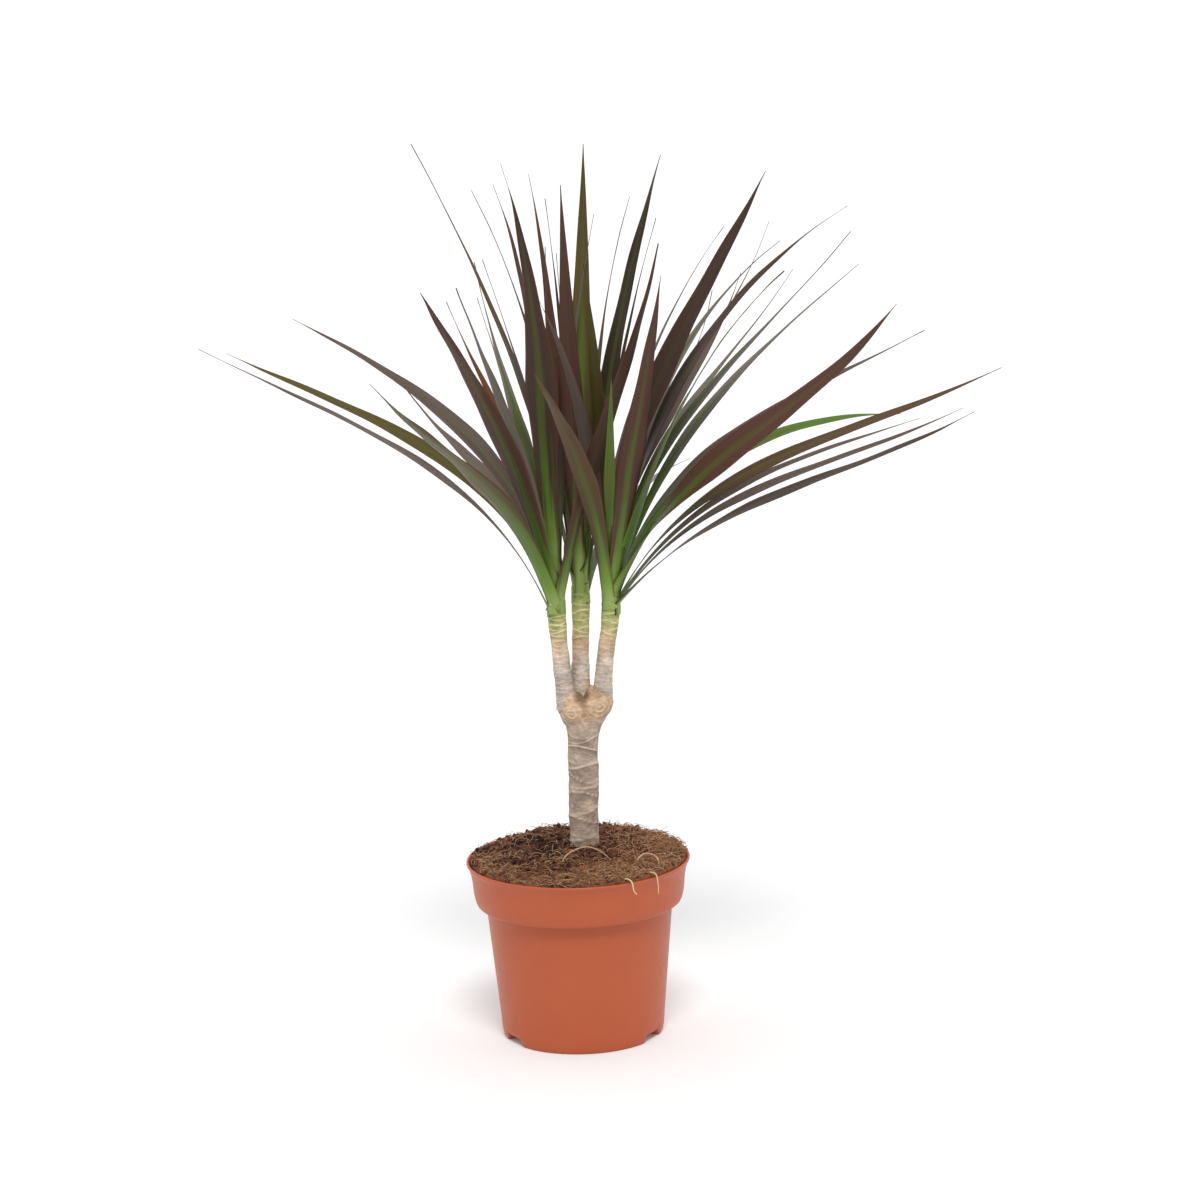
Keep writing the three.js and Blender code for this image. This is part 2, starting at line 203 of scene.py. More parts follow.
pot_rings = turned(rounded(POT_PROFILE), POT_ROUND, POT_AXIS)
pot_angle = np.arange(POT_ROUND) / POT_ROUND * TURN
pot_lift = np.zeros(POT_ROUND)
for notch in FOOT_NOTCHES:
    away = np.abs((pot_angle - math.radians(notch) + math.pi) % TURN - math.pi)
    away *= POT_PROFILE[3][0]
    pot_lift += NOTCH_LIFT * (1 - smooth(NOTCH_HALF - NOTCH_SLOPE, NOTCH_HALF, away))
pot_height = pot_rings[..., 2]
pot_reach = np.linalg.norm((pot_rings - POT_AXIS)[..., :2], axis=-1)
pot_outside = np.arange(len(pot_rings))[:, None] < len(pot_rings) // 2
foot_ring = pot_outside & (pot_reach > POT_PROFILE[1][0]) & (pot_height < NOTCH_REACH)
pot_rings[..., 2] += np.where(foot_ring, pot_lift * (1 - pot_height / NOTCH_REACH), 0)
pot = skin("pot_moulding", pot_rings)

# Moulded polypropylene, pigmented brick red right through: satin, with a faint pebble from
# the mould and cloudy patches where the melt flowed
pot_finish, tree, shader = material("moulded polypropylene, terracotta")
place = add(tree, "ShaderNodeTexCoord").outputs["Object"]
cloud = add(tree, "ShaderNodeTexNoise", {"Vector": place, "Scale": 1 / 0.045, "Detail": 3})
pebble = add(tree, "ShaderNodeTexNoise", {"Vector": place, "Scale": 1 / 0.0011, "Detail": 2})
speck = add(tree, "ShaderNodeTexNoise", {"Vector": place, "Scale": 1 / 0.0035, "Detail": 4})
body = add(tree, "ShaderNodeMix", {
    0: cloud.outputs["Fac"], 6: linear("#b1522d"), 7: linear("#bb5a35"),
}, data_type="RGBA")
tree.links.new(body.outputs[2], shader.inputs["Base Color"])
dust = add(tree, "ShaderNodeMapRange", {
    "Value": speck.outputs["Fac"], "From Min": 0.35, "From Max": 0.75,
    "To Min": 0.40, "To Max": 0.52})
tree.links.new(dust.outputs["Result"], shader.inputs["Roughness"])
dent = add(tree, "ShaderNodeBump", {
    "Height": pebble.outputs["Fac"], "Strength": 0.12, "Distance": 0.0003})
tree.links.new(dent.outputs["Normal"], shader.inputs["Normal"])
shader.inputs["IOR"].default_value = 1.49
shader.inputs["Specular IOR Level"].default_value = 0.4
dress(pot, pot_finish, "pot_plastic", "pot")

# ---------------------------------------------------------------------------------------
# Soil: damp peat mixed with coir, filled to the rim and heaped up to the cane. The root
# ball below it has taken the pot's shape. Loose crumbs and coir fibres lie on top.

SOIL_SEED = 5
SOIL_RIM = 59.2  # mm, on the slope inside the lip
SOIL_EDGE_Z = 98.0
SOIL_RISE = 5.6  # mm from the wall up to the cane
SOIL_ROUND = 330
SOIL_ROWS = 105
CRUMBS = 2100
FIBRES = 2600
SOIL_DARKEST = (-0.018, 0.010, 0.102)  # m from the pot's axis
LATTICE_PRIMES = np.array([73856093, 19349663, 83492791])  # they scramble a cell's number
draw = np.random.default_rng(SOIL_SEED)


def rough(points, size, seed):
    """Smooth random heights from -1 to 1: random values on a lattice of the given size in
    mm, blended with smoothsteps between the eight lattice points round each point."""
    place = np.asarray(points) / size
    cell = np.floor(place).astype(np.int64)
    part = place - cell
    part = part * part * (3 - 2 * part)
    total = np.zeros(place.shape[:-1])
    for corner in np.ndindex(2, 2, 2):
        mixed = (cell + corner) @ LATTICE_PRIMES + seed * 6700417
        mixed = ((mixed ^ (mixed >> 13)) * 1274126177) & 0x7FFFFFFF
        value = (((mixed ^ (mixed >> 15)) * 22695477) >> 8 & 0xFFFF) / 32767.5 - 1
        total += value * np.prod(np.where(corner, part, 1 - part), axis=-1)
    return total


def soil_height(across, back):
    """Height of the soil at a place in mm from the pot's axis: a low mound, with heaps,
    clods and crumbs of three sizes on it."""
    spread = np.hypot(across, back) / SOIL_RIM
    flat = np.stack([across, back, np.zeros_like(across)], axis=-1)
    height = SOIL_EDGE_Z + SOIL_RISE * (1 - spread ** 2)
    height += 1.5 * rough(flat, 15, 1) + 1.0 * np.abs(rough(flat, 5.5, 2))
    height += 0.75 * rough(flat, 2.6, 3) + 0.45 * rough(flat, 1.2, 4)
    return height + 1.2 * smooth(0.5, 0.95, back / SOIL_RIM)


# Radius and height in mm of the root ball's underside and side, just inside the pot
soil_wall = np.array([
    (0.6, 5.4), (20, 5.4), (42.3, 5.4), (48.6, 76), (55.2, 76.9), (55.4, 84)])
soil_rings = turned(soil_wall, SOIL_ROUND, POT_AXIS)
spread = np.linspace(1, 0.012, SOIL_ROWS)[:, None] * SOIL_RIM
angle = np.arange(SOIL_ROUND) / SOIL_ROUND * TURN
top = np.stack([spread * np.cos(angle), spread * np.sin(angle),
                np.zeros((SOIL_ROWS, SOIL_ROUND))], axis=-1)
top[..., 2] = soil_height(top[..., 0], top[..., 1])
top[0, :, :2] *= 0.985
top[0, :, 2] = 96
soil_rings = np.concatenate([soil_rings, top + POT_AXIS])
soil = skin("root_ball", soil_rings, tone=0.5 * rough(soil_rings, 1.6, 8))


def scattered(count, lean):
    """Random places on the soil in mm from the pot's axis, denser to the front right and
    the rim as lean grows: places drawn on a disc, each kept with a chance that grows so."""
    place = draw.uniform(-1, 1, (count * 24, 2))
    place = place[np.hypot(*place.T) < 0.985]
    chance = 0.5 + 0.5 * lean * (0.7 * place[:, 0] - 0.7 * place[:, 1])
    chance *= 1 - lean + lean * (place ** 2).sum(axis=1)
    return place[draw.random(len(place)) < chance][:count] * SOIL_RIM


# Crumbs: lumps of six-sided rings, squeezed and turned at random
crumb_place = scattered(CRUMBS, 0.2)
crumb_size = draw.uniform(0.45, 1.5, CRUMBS) * draw.uniform(0.6, 1.25, CRUMBS)
ring_height = np.array([-0.62, 0.0, 0.62])[None, :, None]
ring_angle = np.arange(6)[None, None, :] / 6 * TURN
crumbs = np.stack(np.broadcast_arrays(
    np.sqrt(1 - ring_height ** 2) * np.cos(ring_angle),
    np.sqrt(1 - ring_height ** 2) * np.sin(ring_angle), ring_height), axis=-1)
crumbs = crumbs * draw.uniform(0.72, 1.25, (CRUMBS, 3, 6, 1))
spin, _ = np.linalg.qr(draw.normal(size=(CRUMBS, 3, 3)))
spin *= np.sign(np.linalg.det(spin))[:, None, None]
crumbs = (crumbs * draw.uniform(0.6, 1.2, (CRUMBS, 1, 1, 3))) @ spin[:, None]
crumbs *= crumb_size[:, None, None, None]
crumb_at = np.column_stack([crumb_place, soil_height(*crumb_place.T) + 0.25 * crumb_size])
crumbs += (crumb_at + POT_AXIS)[:, None, None]
soil_crumbs = skin("soil_crumbs", crumbs, tone=draw.uniform(-1, 1, CRUMBS)[:, None, None])


def tube(path, radius, corners, reference):
    """Rings round a path[..., row, xyz]: each ring turns from reference x along to the
    direction square to both, right-handed about the way the path runs."""
    along = np.gradient(path, axis=-2)
    along /= np.linalg.norm(along, axis=-1, keepdims=True)
    side = np.cross(reference, along)
    side /= np.linalg.norm(side, axis=-1, keepdims=True)
    front = np.cross(along, side)
    angle = (np.arange(corners) / corners * TURN)[:, None]
    spoke = side[..., None, :] * np.cos(angle) + front[..., None, :] * np.sin(angle)
    return path[..., None, :] + spoke * np.asarray(radius)[..., None, None]


# Coir: short stiff fibres that curve a little and lie on the crumbs
FIBRE_TAPER = (.5, 1, 1, 1, 1, 1, .8, .4)  # of the greatest radius, from end to end
FIBRE_REACH = SOIL_RIM + 0.8  # mm from the pot's axis, to stay inside the lip
fibre_at = scattered(FIBRES, 0.85)
fibre_length = draw.uniform(3, 11, FIBRES) * draw.uniform(0.6, 1.5, FIBRES)
fibre_heading = draw.uniform(0, TURN, FIBRES)
fibre_bend = draw.normal(0, 0.8, FIBRES)
step = np.linspace(-0.5, 0.5, len(FIBRE_TAPER))
bearing = fibre_heading[:, None] + fibre_bend[:, None] * step
path = np.cumsum(np.stack([np.cos(bearing), np.sin(bearing)], axis=-1), axis=1) / len(step)
path = (path - path.mean(axis=1, keepdims=True)) * fibre_length[:, None, None]
path = path + fibre_at[:, None]
reach = np.hypot(path[..., 0], path[..., 1])
path *= np.minimum(1, FIBRE_REACH / np.maximum(reach, 1))[..., None]
lift = soil_height(path[..., 0], path[..., 1]).mean(axis=1, keepdims=True)
arch = draw.uniform(0.2, 2.4, FIBRES)[:, None] * (1 - (2 * step) ** 2)
tilt = draw.normal(0, 1.0, FIBRES)[:, None] * step * 2
path = np.concatenate([path, (lift + 0.4 + arch + tilt)[..., None]], axis=-1) + POT_AXIS
fibre_thick = draw.uniform(0.08, 0.17, FIBRES)[:, None] * np.array(FIBRE_TAPER)
coir = skin("coir_fibres", tube(path, fibre_thick, 4, (0, 0, 1)),
            tone=draw.uniform(-1, 1, FIBRES)[:, None, None])


def through(points, count, ease=None):
    """Catmull-Rom curve through points, at count places evenly spread over its parameter,
    or at the places in ease, from 0 to 1."""
    points = np.asarray(points, dtype=float)
    padded = np.concatenate([
        2 * points[:1] - points[1:2], points, 2 * points[-1:] - points[-2:-1]])
    place = (np.linspace(0, 1, count) if ease is None else ease) * (len(points) - 1)
    cell = np.minimum(place.astype(int), len(points) - 2)
    part = (place - cell).reshape(-1, *[1] * (points.ndim - 1))
    a, b, c, d = (padded[cell + i] for i in range(4))
    return 0.5 * (2 * b + (c - a) * part + (2 * a - 5 * b + 4 * c - d) * part ** 2
                  + (3 * b - a - 3 * c + d) * part ** 3)


# Surface roots: wiry, under 1 mm thick, in loops over the soil and out over the lip.
# Each row is a place in mm right of and behind the pot's axis, and its height over the soil.
ROOTS = (
    ((-9, -27, -1), (-5, -22, 2.5), (4, -18, 4.5), (12, -20, 3), (18, -23, -1)),
    ((31, -24, -1), (36, -20, 2.5), (42, -25, 3.2), (43, -33, 1.5), (37, -37, -1)),
    ((34, -38, -1), (38, -44, 1.8), (41.5, -46.5, 1.2), (42.5, -47.5, -4), (42.6, -48, -9)),
    ((22, -48, -1), (26, -54, 1.4), (28.5, -57.5, 0.5), (29.5, -58.5, -4), (31, -58.5, -6)),
)
ROOT_ROWS = 40
ROOT_RADII = (0.46, 0.24)  # mm, from one end to the other
ROOT_LIFT = 1.0  # mm, to lie on the crumbs
root_rows = np.stack([through(row, ROOT_ROWS) for row in ROOTS])
root_ground = SOIL_EDGE_Z + SOIL_RISE * (
    1 - np.minimum(1, np.hypot(root_rows[..., 0], root_rows[..., 1]) / SOIL_RIM) ** 2)
root_rows[..., 2] += root_ground + ROOT_LIFT
root_thick = np.linspace(*ROOT_RADII, ROOT_ROWS)
root_thick *= 1 + 0.12 * np.sin(np.arange(ROOT_ROWS) * 1.7)
surface_roots = skin("surface_roots", tube(
    root_rows + POT_AXIS, np.broadcast_to(root_thick, root_rows.shape[:2]), 8, (0.1, 0.2, 1)),
    tone=np.linspace(1, 2, len(ROOTS))[:, None, None])

# Peat: matt, near-black brown towards a spot left of the cane, and more orange with
# coir towards the rim
soil_finish, tree, shader = material("damp peat with coir")
place = add(tree, "ShaderNodeTexCoord").outputs["Object"]
axis_at = add(tree, "ShaderNodeMapping", {
    "Vector": place, "Location": (-POT_AXIS[0] * MM, -POT_AXIS[1] * MM, 0)})
away = add(tree, "ShaderNodeVectorMath", {0: axis_at.outputs["Vector"], 1: SOIL_DARKEST},
           operation="DISTANCE")
patch = add(tree, "ShaderNodeTexNoise", {"Vector": place, "Scale": 1 / 0.016, "Detail": 3})
grain = add(tree, "ShaderNodeTexNoise", {"Vector": place, "Scale": 1 / 0.0016, "Detail": 4})
tone = add(tree, "ShaderNodeAttribute", attribute_name="tone")
leaning = add(tree, "ShaderNodeMapRange", {
    "Value": away.outputs["Value"], "From Min": 0.015, "From Max": 0.075, "To Min": -0.3,
    "To Max": 0.3})
mixed = add(tree, "ShaderNodeMath", {
    0: patch.outputs["Fac"], 1: leaning.outputs["Result"]}, operation="ADD")
mixed = add(tree, "ShaderNodeMath", {
    0: tone.outputs["Fac"], 1: 0.26, 2: mixed.outputs[0]}, operation="MULTIPLY_ADD")
mixed = add(tree, "ShaderNodeMath", {
    0: grain.outputs["Fac"], 1: 0.5, 2: mixed.outputs[0]}, operation="MULTIPLY_ADD")
ramp = add(tree, "ShaderNodeValToRGB", {"Fac": mixed.outputs[0]})
peat = ((0.35, "#241009"), (0.6, "#42231a"), (0.82, "#633828"), (1.0, "#855338"))
for _ in range(len(peat) - 2):
    ramp.color_ramp.elements.new(0.5)
for element, (at, colour) in zip(ramp.color_ramp.elements, peat):
    element.position = at
    element.color = linear(colour)
tree.links.new(ramp.outputs["Color"], shader.inputs["Base Color"])
shader.inputs["Roughness"].default_value = 0.9
shader.inputs["Specular IOR Level"].default_value = 0.25
dent = add(tree, "ShaderNodeBump", {
    "Height": grain.outputs["Fac"], "Strength": 0.6, "Distance": 0.0006})
tree.links.new(dent.outputs["Normal"], shader.inputs["Normal"])
dress(soil, soil_finish, "soil", "soil")
dress(soil_crumbs, soil_finish, "soil")

# Dry coconut fibre: tan to rust, with a dull shine
coir_finish, tree, shader = material("dry coconut fibre")
tone = add(tree, "ShaderNodeAttribute", attribute_name="tone")
shade = add(tree, "ShaderNodeMapRange", {
    "Value": tone.outputs["Fac"], "From Min": -1, "From Max": 2})
ramp = add(tree, "ShaderNodeValToRGB", {"Fac": shade.outputs["Result"]})
ramp.color_ramp.elements.new(0.5)
for element, (at, colour) in zip(
        ramp.color_ramp.elements, ((0, "#532c1b"), (0.42, "#ad7f55"), (1, "#dcc19c"))):
    element.position = at
    element.color = linear(colour)
tree.links.new(ramp.outputs["Color"], shader.inputs["Base Color"])
shader.inputs["Roughness"].default_value = 0.7
dress(coir, coir_finish, "soil")
dress(surface_roots, coir_finish, "soil")

# ---------------------------------------------------------------------------------------
# Cane: a woody cane sawn off once, which swelled into a knuckle and put out three stems.
# Fallen leaves left rings of scars, closer together and greener towards the top.

cane_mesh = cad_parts["cane"].data
cane_points = np.empty(len(cane_mesh.vertices) * 3)
cane_mesh.vertices.foreach_get("co", cane_points)
cane_points = cane_points.reshape(-1, 3) / MM
cane_top = cane_points[:, 2].max()
SHOOT_NAMES = ("left", "middle", "right")
CROWN_SAMPLE = 30  # mm below the highest crown's tip, where the three stand well apart
# The crowns' upright axes, from the corners above the stems, in order from left to right
crown_points = cane_points[cane_points[:, 2] > cane_top - CROWN_SAMPLE]
crown_order = np.argsort(crown_points[:, 0])
crown_gaps = np.sort(np.argsort(np.diff(crown_points[crown_order, 0]))[-2:]) + 1
CROWN_LENGTH = 42  # mm, from a stem's neck to the tip of its crown
CROWNS = {}
for name, group in zip(SHOOT_NAMES, np.split(crown_order, crown_gaps)):
    crown_low, crown_high = crown_points[group].min(axis=0), crown_points[group].max(axis=0)
    CROWNS[name] = np.array([*(crown_low[:2] + crown_high[:2]) / 2, crown_high[2] - CROWN_LENGTH])
CANE_RADIUS = 8.2
CANE_OFFSET = 4.0  # mm that the cane stands right of the pot's axis, and behind it
CANE_SCARS = (5.0, 2.3, 0.45)  # mm: spacing, droop and line width
STEM_SCARS = (1.8, 1.0, 0.3)
SCAR_TURN = math.radians(137.5)
# Heights in mm where the knuckle starts, is callus all over, is widest, and is domed over
KNUCKLE_FOOT, KNUCKLE_CALLUS, KNUCKLE_WIDEST, KNUCKLE_TOP = 166, 178, 182, 192
KNUCKLE_BACK = 1.0  # mm that the knuckle stands behind the cane


def scars(height, angle, spacing, droop, width, seed):
    """How much of a scar lies at each height and angle, and how much painted shade lies
    at each: darkness painted just below each scar, fading over the spacing below it. Scars are
    thin rings, each tilted by its droop towards a side that moves on by the golden angle, so that
    neighbours cross."""
    made = np.random.default_rng(seed)
    levels = np.arange(height.min() - 4, height.max() + 4, spacing)
    levels = levels + made.uniform(-0.25, 0.25, len(levels)) * spacing
    shape = np.broadcast_shapes(height.shape, angle.shape)
    mark, shade = np.zeros(shape), np.zeros(shape)
    for i, level in enumerate(levels):
        facing = i * SCAR_TURN + made.uniform(-0.3, 0.3)
        sag = droop * made.uniform(0.5, 1.3)
        line = level + sag * np.cos(angle - facing) + 0.35 * sag * np.cos(2 * (angle - facing))
        size = width * made.uniform(0.6, 1.3)
        fade = 0.7 + 0.3 * np.cos(angle - facing + made.uniform(-1, 1))
        mark = np.maximum(mark, np.exp(-((height - line) / size) ** 2) * fade)
        # Painted shade: the bark just below each scar line is darkened, fading towards the next
        # scar down
        below = (line - height) / spacing
        shade = np.maximum(shade, np.where(below > 0, np.exp(-1.6 * below), 0) * fade)
    return mark, shade


def wobble(path, sides, seed):
    """Small uneven bulges for rings round a path, in mm."""
    angle = np.arange(sides) / sides * TURN
    round_about = np.stack(np.broadcast_arrays(
        3 * np.cos(angle)[None], 3 * np.sin(angle)[None], path[:, 2:3]), axis=-1)
    return 0.5 * rough(round_about, 7, seed) + 0.28 * rough(round_about, 2.2, seed + 1)


def limb(path, radius, sides, scar, seed):
    """Rings, scar marks and shading of a woody limb: a tube along a path, swollen unevenly
    between its scars and with a low ridge on each of them."""
    angle = np.arange(sides)[None] / sides * TURN
    mark, shade = scars(path[:, 2:3], angle, *scar, seed)
    swell = wobble(path, sides, seed) * radius[:, None] / CANE_RADIUS
    rings = tube(path, radius, sides, (0, 1, 0))
    centre = path[:, None]
    spoke = (rings - centre) / radius[:, None, None]
    return rings + spoke * (swell + 0.22 * mark)[..., None], mark, shade


# Cane and knuckle, from the foot up: height, half width, and how far the middle stands off
# the cane's foot. The knuckle is shallower from front to back.
CANE_OUTLINE = np.array([
    (62, 8.2, 0), (90, 8.4, -0.1), (120, 8.0, 0), (150, 8.2, 0.5), (161, 8.3, 0.9),
    (167, 8.9, 1.2), (172, 10.4, 1.5), (176, 12.2, 1.9), (180, 13.9, 2.2), (184, 14.6, 2.3),
    (186.5, 14.3, 2.3), (188.8, 12.9, 2.3), (190.4, 10.0, 2.3), (191.0, 6.0, 2.3),
    (190.9, 0.4, 2.3),
])
CANE_ROWS = 430
CANE_SIDES = 168
KNUCKLE_DEPTH = 0.78  # of its width
cane_x, cane_y = POT_AXIS[:2] + CANE_OFFSET
cane_line = through(CANE_OUTLINE, CANE_ROWS)
cane_angle = np.arange(CANE_SIDES)[None] / CANE_SIDES * TURN
cane_z = cane_line[:, :1]
in_knuckle = smooth(KNUCKLE_FOOT, KNUCKLE_CALLUS, cane_z)
cane_scar, cane_painted_shade = scars(cane_z, cane_angle, *CANE_SCARS, 27)
cane_scar *= 1 - in_knuckle
cane_painted_shade *= 1 - in_knuckle
depth = 1 + (KNUCKLE_DEPTH - 1) * smooth(KNUCKLE_FOOT, KNUCKLE_WIDEST, cane_z)
cane_rings = np.stack(np.broadcast_arrays(
    cane_x + cane_line[:, 2:] + cane_line[:, 1:2] * np.cos(cane_angle),
    cane_y + KNUCKLE_BACK * in_knuckle + cane_line[:, 1:2] * depth * np.sin(cane_angle),
    cane_z), axis=-1)
spoke = np.stack(np.broadcast_arrays(
    np.cos(cane_angle), np.sin(cane_angle),
    0.9 * smooth(KNUCKLE_WIDEST, KNUCKLE_TOP, cane_z)), axis=-1)
woody = 0.45 * rough(cane_rings, 7, 22) + 0.25 * rough(cane_rings, 2.4, 23)
callus = 1.0 * rough(cane_rings, 7.5, 31) + 0.9 * rough(cane_rings, 3.4, 32)
callus += 0.45 * rough(cane_rings, 1.5, 33)
# Two old bud scars swirl on the front, and a rotted hollow lies between the stems
side = cane_rings[..., 0] - cane_x - CANE_OUTLINE[-1, 2]
rise = cane_rings[..., 2]
front = cane_rings[..., 1] < cane_y
swirl = np.zeros(side.shape)
for boss_x, boss_z, size in ((-6.4, 179.5, 5.0), (7.2, 182.5, 5.2)):
    away = np.hypot(side - boss_x, rise - boss_z) / size
    away = away + 0.12 * rough(cane_rings, 2.5, 34)
    boss = (1 - smooth(0.45, 1.3, away)) * front
    callus += 1.5 * boss + 0.35 * np.cos(away * 13) * boss
    swirl = np.maximum(swirl, (0.5 + 0.5 * np.cos(away * 13 + 1)) * boss)
hollow = np.exp(-(((side + 1.2) / 3.2) ** 2 + ((rise - 190.5) / 3.0) ** 2)) * front
callus -= 3.2 * hollow
cane_rings = cane_rings + spoke * (
    woody * (1 - in_knuckle) + callus * in_knuckle * np.minimum(1, cane_line[:, 1:2] / 5)
    + 0.22 * cane_scar)[..., None]
# The shade attribute is painted shade: darker just below each scar, in the knuckle's hollow and
# wherever its callus dips
cane_trunk = skin(
    "cane_trunk", cane_rings, scar=np.maximum(cane_scar, 0.55 * swirl * in_knuckle),
    shade=np.maximum(0.9 * cane_painted_shade, in_knuckle * np.clip(hollow * 1.6 - callus * 0.35, 0, 1)),
    age=1 - 0.36 * in_knuckle)

STEM_FEET = {"left": (-3.0, 3, 181), "middle": (3.9, 7, 181), "right": (15.4, 4, 181)}
STEM_BOWS = {"left": -0.5, "middle": 0.0, "right": -0.4}
STEM_RADII = (6.0, 5.0, 4.6, 4.5, 4.9, 4.0, 1.4)
STEM_ROWS = 240
STEM_SIDES = 64
STEM_IN_CROWN = 38  # mm that a stem goes on above its neck, hidden by the leaves
# Heights in mm: the stems' feet are grey up to the first, their scars show fully between the
# second and third, and the skin has turned green at the fourth, where the scars stop
STEM_GREY, SCARS_FROM, SCARS_FULL, STEM_GREEN = 194, 205, 224, 236
SCARS_FADE = 3  # mm above the fourth height where the last scars fade out
GREENING = 20  # mm above it where the green reaches full depth
stem_skins = []
for name, seed in zip(SHOOT_NAMES, (41, 45, 49)):
    crown_x, crown_y, neck_z = CROWNS[name]
    foot = np.array(STEM_FEET[name]) + POT_AXIS
    neck = np.array([crown_x, crown_y, neck_z])
    middle = foot * 0.5 + neck * 0.5 + (STEM_BOWS[name], 0, 0)
    tip = (crown_x, crown_y, neck_z + STEM_IN_CROWN)
    path = through([foot, middle, neck, tip], STEM_ROWS)
    stem_skins.append(limb(path, through(STEM_RADII, STEM_ROWS), STEM_SIDES, STEM_SCARS, seed))
stem_rings, stem_scar, stem_painted_shade = (np.stack(part) for part in zip(*stem_skins))
stem_z = stem_rings[..., 2]
scarred = 1 - smooth(STEM_GREEN, STEM_GREEN + SCARS_FADE, stem_z)
# The shade attribute is painted shade, darker just below each scar on the stems
cane_stems = skin(
    "cane_stems", stem_rings,
    scar=stem_scar * (0.35 + 0.65 * smooth(SCARS_FROM, SCARS_FULL, stem_z)) * scarred,
    shade=0.6 * stem_painted_shade * scarred,
    age=0.5 - 0.5 * smooth(STEM_GREY, STEM_GREEN, stem_z)
    - 0.3 * smooth(STEM_GREEN, STEM_GREEN + GREENING, stem_z))

# Bark: age 1 is grey-brown cork on the cane and 0.6 is the knuckle's tan callus; from 0.5
# to 0 it goes from the pale grey of the stems' feet, through peach, to the green skin under
# the leaves. Scars are thin lines of cream cork. The shade attribute is painted shade: it
# darkens the bark just below each scar, in the knuckle's hollow and where its callus dips.
bark, tree, shader = material("dracaena bark")
place = add(tree, "ShaderNodeTexCoord").outputs["Object"]
age, scar, shade = (
    add(tree, "ShaderNodeAttribute", attribute_name=name).outputs["Fac"]
    for name in ("age", "scar", "shade"))
stain = add(tree, "ShaderNodeTexNoise", {"Vector": place, "Scale": 1 / 0.008, "Detail": 4})
flat_place = add(tree, "ShaderNodeMapping", {"Vector": place, "Scale": (1, 1, 2.4)})
crack = add(tree, "ShaderNodeTexNoise", {
    "Vector": flat_place.outputs["Vector"], "Scale": 1 / 0.0024, "Detail": 5})
aged = add(tree, "ShaderNodeMath", {
    0: stain.outputs["Fac"], 1: 0.2, 2: age}, operation="MULTIPLY_ADD")
aged = add(tree, "ShaderNodeMapRange", {
    "Value": aged.outputs[0], "From Min": -0.2, "From Max": 1.1})
ramp = add(tree, "ShaderNodeValToRGB", {"Fac": aged.outputs["Result"]})
skin_colours = (
    (-0.3, "#4a6420"), (-0.1, "#67873a"), (0.0, "#98a05e"), (0.11, "#afa878"), (0.2, "#c9ab89"),
    (0.32, "#cdb49c"), (0.47, "#c4b8ad"), (0.6, "#c6a27e"), (0.75, "#b8a18f"), (1.0, "#ab9888"),
)
for _ in range(len(skin_colours) - 2):
    ramp.color_ramp.elements.new(0.5)
for element, (at, colour) in zip(ramp.color_ramp.elements, skin_colours):
    element.position = (at + 0.3) / 1.3
    element.color = linear(colour)
blotch = add(tree, "ShaderNodeMapRange", {
    "Value": stain.outputs["Fac"], "From Min": 0.35, "From Max": 0.65,
    "To Min": 0.72, "To Max": 1.18})
dark = add(tree, "ShaderNodeMapRange", {
    "Value": crack.outputs["Fac"], "From Min": 0.34, "From Max": 0.62,
    "To Min": 0.76, "To Max": 1.08})
dark = add(tree, "ShaderNodeMath", {
    0: dark.outputs["Result"], 1: blotch.outputs["Result"]}, operation="MULTIPLY")
# Painted shade: the colour is darkened to 0.46 of itself where the shade attribute is full, and
# lifted a little where it is nil
painted_shade_dim = add(tree, "ShaderNodeMapRange", {
    "Value": shade, "To Min": 1.16, "To Max": 0.46})
dark = add(tree, "ShaderNodeMath", {
    0: dark.outputs[0], 1: painted_shade_dim.outputs["Result"]}, operation="MULTIPLY")
shaded = add(tree, "ShaderNodeVectorMath", {
    0: ramp.outputs["Color"], "Scale": dark.outputs[0]}, operation="SCALE")
torn = add(tree, "ShaderNodeMapRange", {
    "Value": stain.outputs["Fac"], "From Min": 0.3, "From Max": 0.5, "To Min": 0.6})
line = add(tree, "ShaderNodeMath", {
    0: scar, 1: torn.outputs["Result"]}, operation="MULTIPLY")
young = add(tree, "ShaderNodeMapRange", {
    "Value": age, "From Min": 0.35, "From Max": 0.15}).outputs["Result"]
fresh = add(tree, "ShaderNodeMix", {
    0: young, 6: linear("#e2cfb4"), 7: linear("#f0e9b4")}, data_type="RGBA")
cork = add(tree, "ShaderNodeMix", {
    0: line.outputs[0], 6: shaded.outputs["Vector"], 7: fresh.outputs[2]}, data_type="RGBA")
tree.links.new(cork.outputs[2], shader.inputs["Base Color"])
shader.inputs["Roughness"].default_value = 0.82
shader.inputs["Specular IOR Level"].default_value = 0.3
dent = add(tree, "ShaderNodeBump", {
    "Height": crack.outputs["Fac"], "Strength": 0.7, "Distance": 0.0007})
tree.links.new(dent.outputs["Normal"], shader.inputs["Normal"])
dress(cane_trunk, bark, "cane", "cane")
dress(cane_stems, bark, "cane")

# ---------------------------------------------------------------------------------------
# Leaves: leathery straps that clasp the stem with a pale green foot and taper to a needle.
# The blade is dark maroon over green, greener down the middle, with fine parallel veins.

